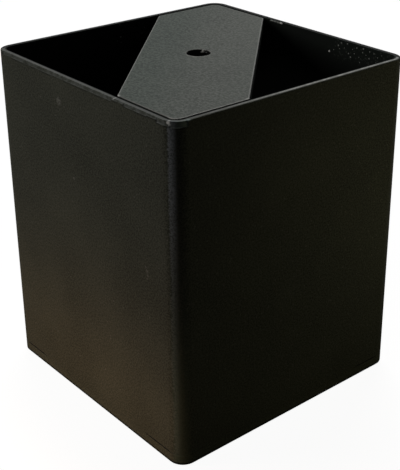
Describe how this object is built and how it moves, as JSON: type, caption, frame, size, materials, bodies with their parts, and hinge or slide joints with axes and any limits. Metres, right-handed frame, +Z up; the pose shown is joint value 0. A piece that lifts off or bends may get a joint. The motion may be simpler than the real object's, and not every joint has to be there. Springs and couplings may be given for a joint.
{
  "type": "square metal table leg",
  "caption": "Short square tube furniture leg: welded closing plate below, drilled diagonal mounting plate just inside the open upper end, matt black coating.",
  "frame": {"origin": "centre of the underside of the closing plate", "axes": "+Z up along the tube, out of its open end; the walls face X and Y; the mounting plate runs along the diagonal from corner (+X, -Y) to corner (-X, +Y)"},
  "size_m": [0.1, 0.1, 0.12],
  "materials": {
    "tube_coat": "fine-textured matt black powder coat on steel",
    "base_coat": "fine-textured matt black powder coat on steel",
    "plate_coat": "fine-textured matt black powder coat on steel",
    "weld_coat": "powder coat over weld metal, rippled inside and ground flush outside"
  },
  "bodies": {
    "root": {"tube": "tube_coat", "base_plate": "base_coat", "mounting_plate": "plate_coat", "plate_weld_front": "weld_coat", "plate_weld_right": "weld_coat", "plate_weld_back": "weld_coat", "plate_weld_left": "weld_coat", "base_weld_front": "weld_coat", "base_weld_right": "weld_coat", "base_weld_back": "weld_coat", "base_weld_left": "weld_coat"}
  },
  "joints": []
}
